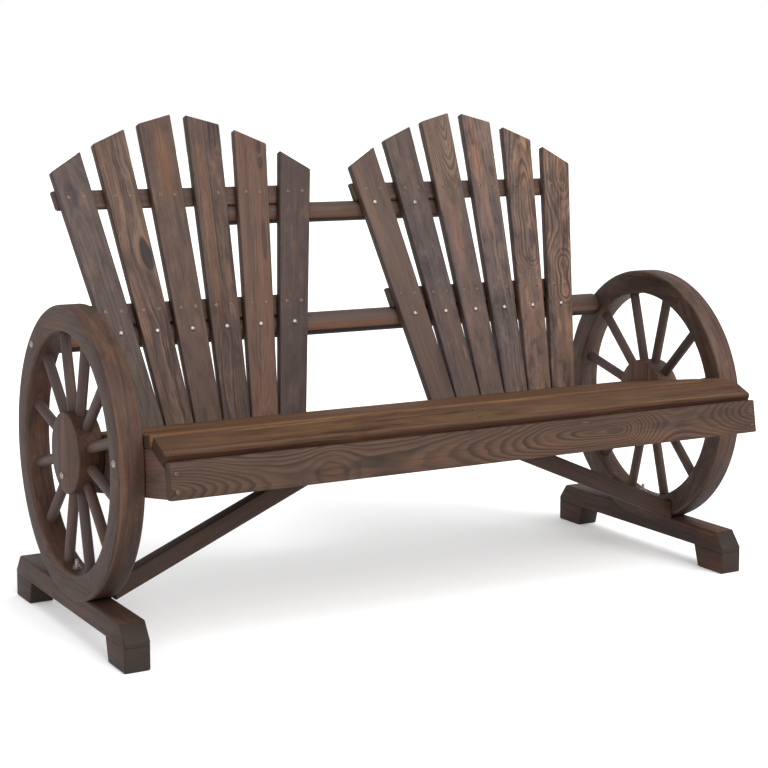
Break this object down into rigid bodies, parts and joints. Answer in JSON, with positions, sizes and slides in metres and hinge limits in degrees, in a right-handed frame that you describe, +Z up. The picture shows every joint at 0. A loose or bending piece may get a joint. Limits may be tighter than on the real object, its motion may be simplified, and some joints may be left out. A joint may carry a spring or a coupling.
{
  "type": "garden bench",
  "caption": "Rustic loveseat garden bench of dark stained fir, with spoked wagon wheels as sides, a boarded seat with a front apron and fan-shaped slat backs joined by round rails.",
  "frame": {"origin": "on the ground, in the middle of the bench's bounding box", "axes": "+X to the right as seen from the front, +Y to the rear, +Z up"},
  "size_m": [1.4, 0.6977, 0.9749],
  "materials": {
    "slat_wood": "brushed and scorched fir with a dark stain, satin",
    "frame_wood": "dark stained fir, satin",
    "seat_wood": "warm brown stained fir, satin",
    "wheel_wood": "dark stained fir, satin"
  },
  "bodies": {
    "root": {"left_foot": "frame_wood", "left_wheel_rim": "wheel_wood", "left_wheel_hub": "wheel_wood", "left_wheel_spoke_01": "wheel_wood", "left_wheel_spoke_02": "wheel_wood", "left_wheel_spoke_03": "wheel_wood", "left_wheel_spoke_04": "wheel_wood", "left_wheel_spoke_05": "wheel_wood", "left_wheel_spoke_06": "wheel_wood", "left_wheel_spoke_07": "wheel_wood", "left_wheel_spoke_08": "wheel_wood", "left_wheel_spoke_09": "wheel_wood", "left_wheel_spoke_10": "wheel_wood", "left_wheel_spoke_11": "wheel_wood", "left_wheel_spoke_12": "wheel_wood", "left_back_slat_1": "slat_wood", "left_back_slat_2": "slat_wood", "left_back_slat_3": "slat_wood", "left_back_slat_4": "slat_wood", "left_back_slat_5": "slat_wood", "left_back_slat_6": "slat_wood", "left_upper_batten": "frame_wood", "left_lower_batten": "frame_wood", "left_brace": "frame_wood", "left_joist": "frame_wood", "right_foot": "frame_wood", "right_wheel_rim": "wheel_wood", "right_wheel_hub": "wheel_wood", "right_wheel_spoke_01": "wheel_wood", "right_wheel_spoke_02": "wheel_wood", "right_wheel_spoke_03": "wheel_wood", "right_wheel_spoke_04": "wheel_wood", "right_wheel_spoke_05": "wheel_wood", "right_wheel_spoke_06": "wheel_wood", "right_wheel_spoke_07": "wheel_wood", "right_wheel_spoke_08": "wheel_wood", "right_wheel_spoke_09": "wheel_wood", "right_wheel_spoke_10": "wheel_wood", "right_wheel_spoke_11": "wheel_wood", "right_wheel_spoke_12": "wheel_wood", "right_back_slat_1": "slat_wood", "right_back_slat_2": "slat_wood", "right_back_slat_3": "slat_wood", "right_back_slat_4": "slat_wood", "right_back_slat_5": "slat_wood", "right_back_slat_6": "slat_wood", "right_upper_batten": "frame_wood", "right_lower_batten": "frame_wood", "right_brace": "frame_wood", "right_joist": "frame_wood", "middle_joist": "frame_wood", "rear_seat_rail": "frame_wood", "upper_round_rail": "frame_wood", "lower_round_rail": "frame_wood", "front_apron": "slat_wood", "seat_nose_board": "seat_wood", "seat_board_1": "seat_wood", "seat_board_2": "seat_wood", "seat_board_3": "seat_wood", "seat_board_4": "seat_wood"}
  },
  "joints": []
}
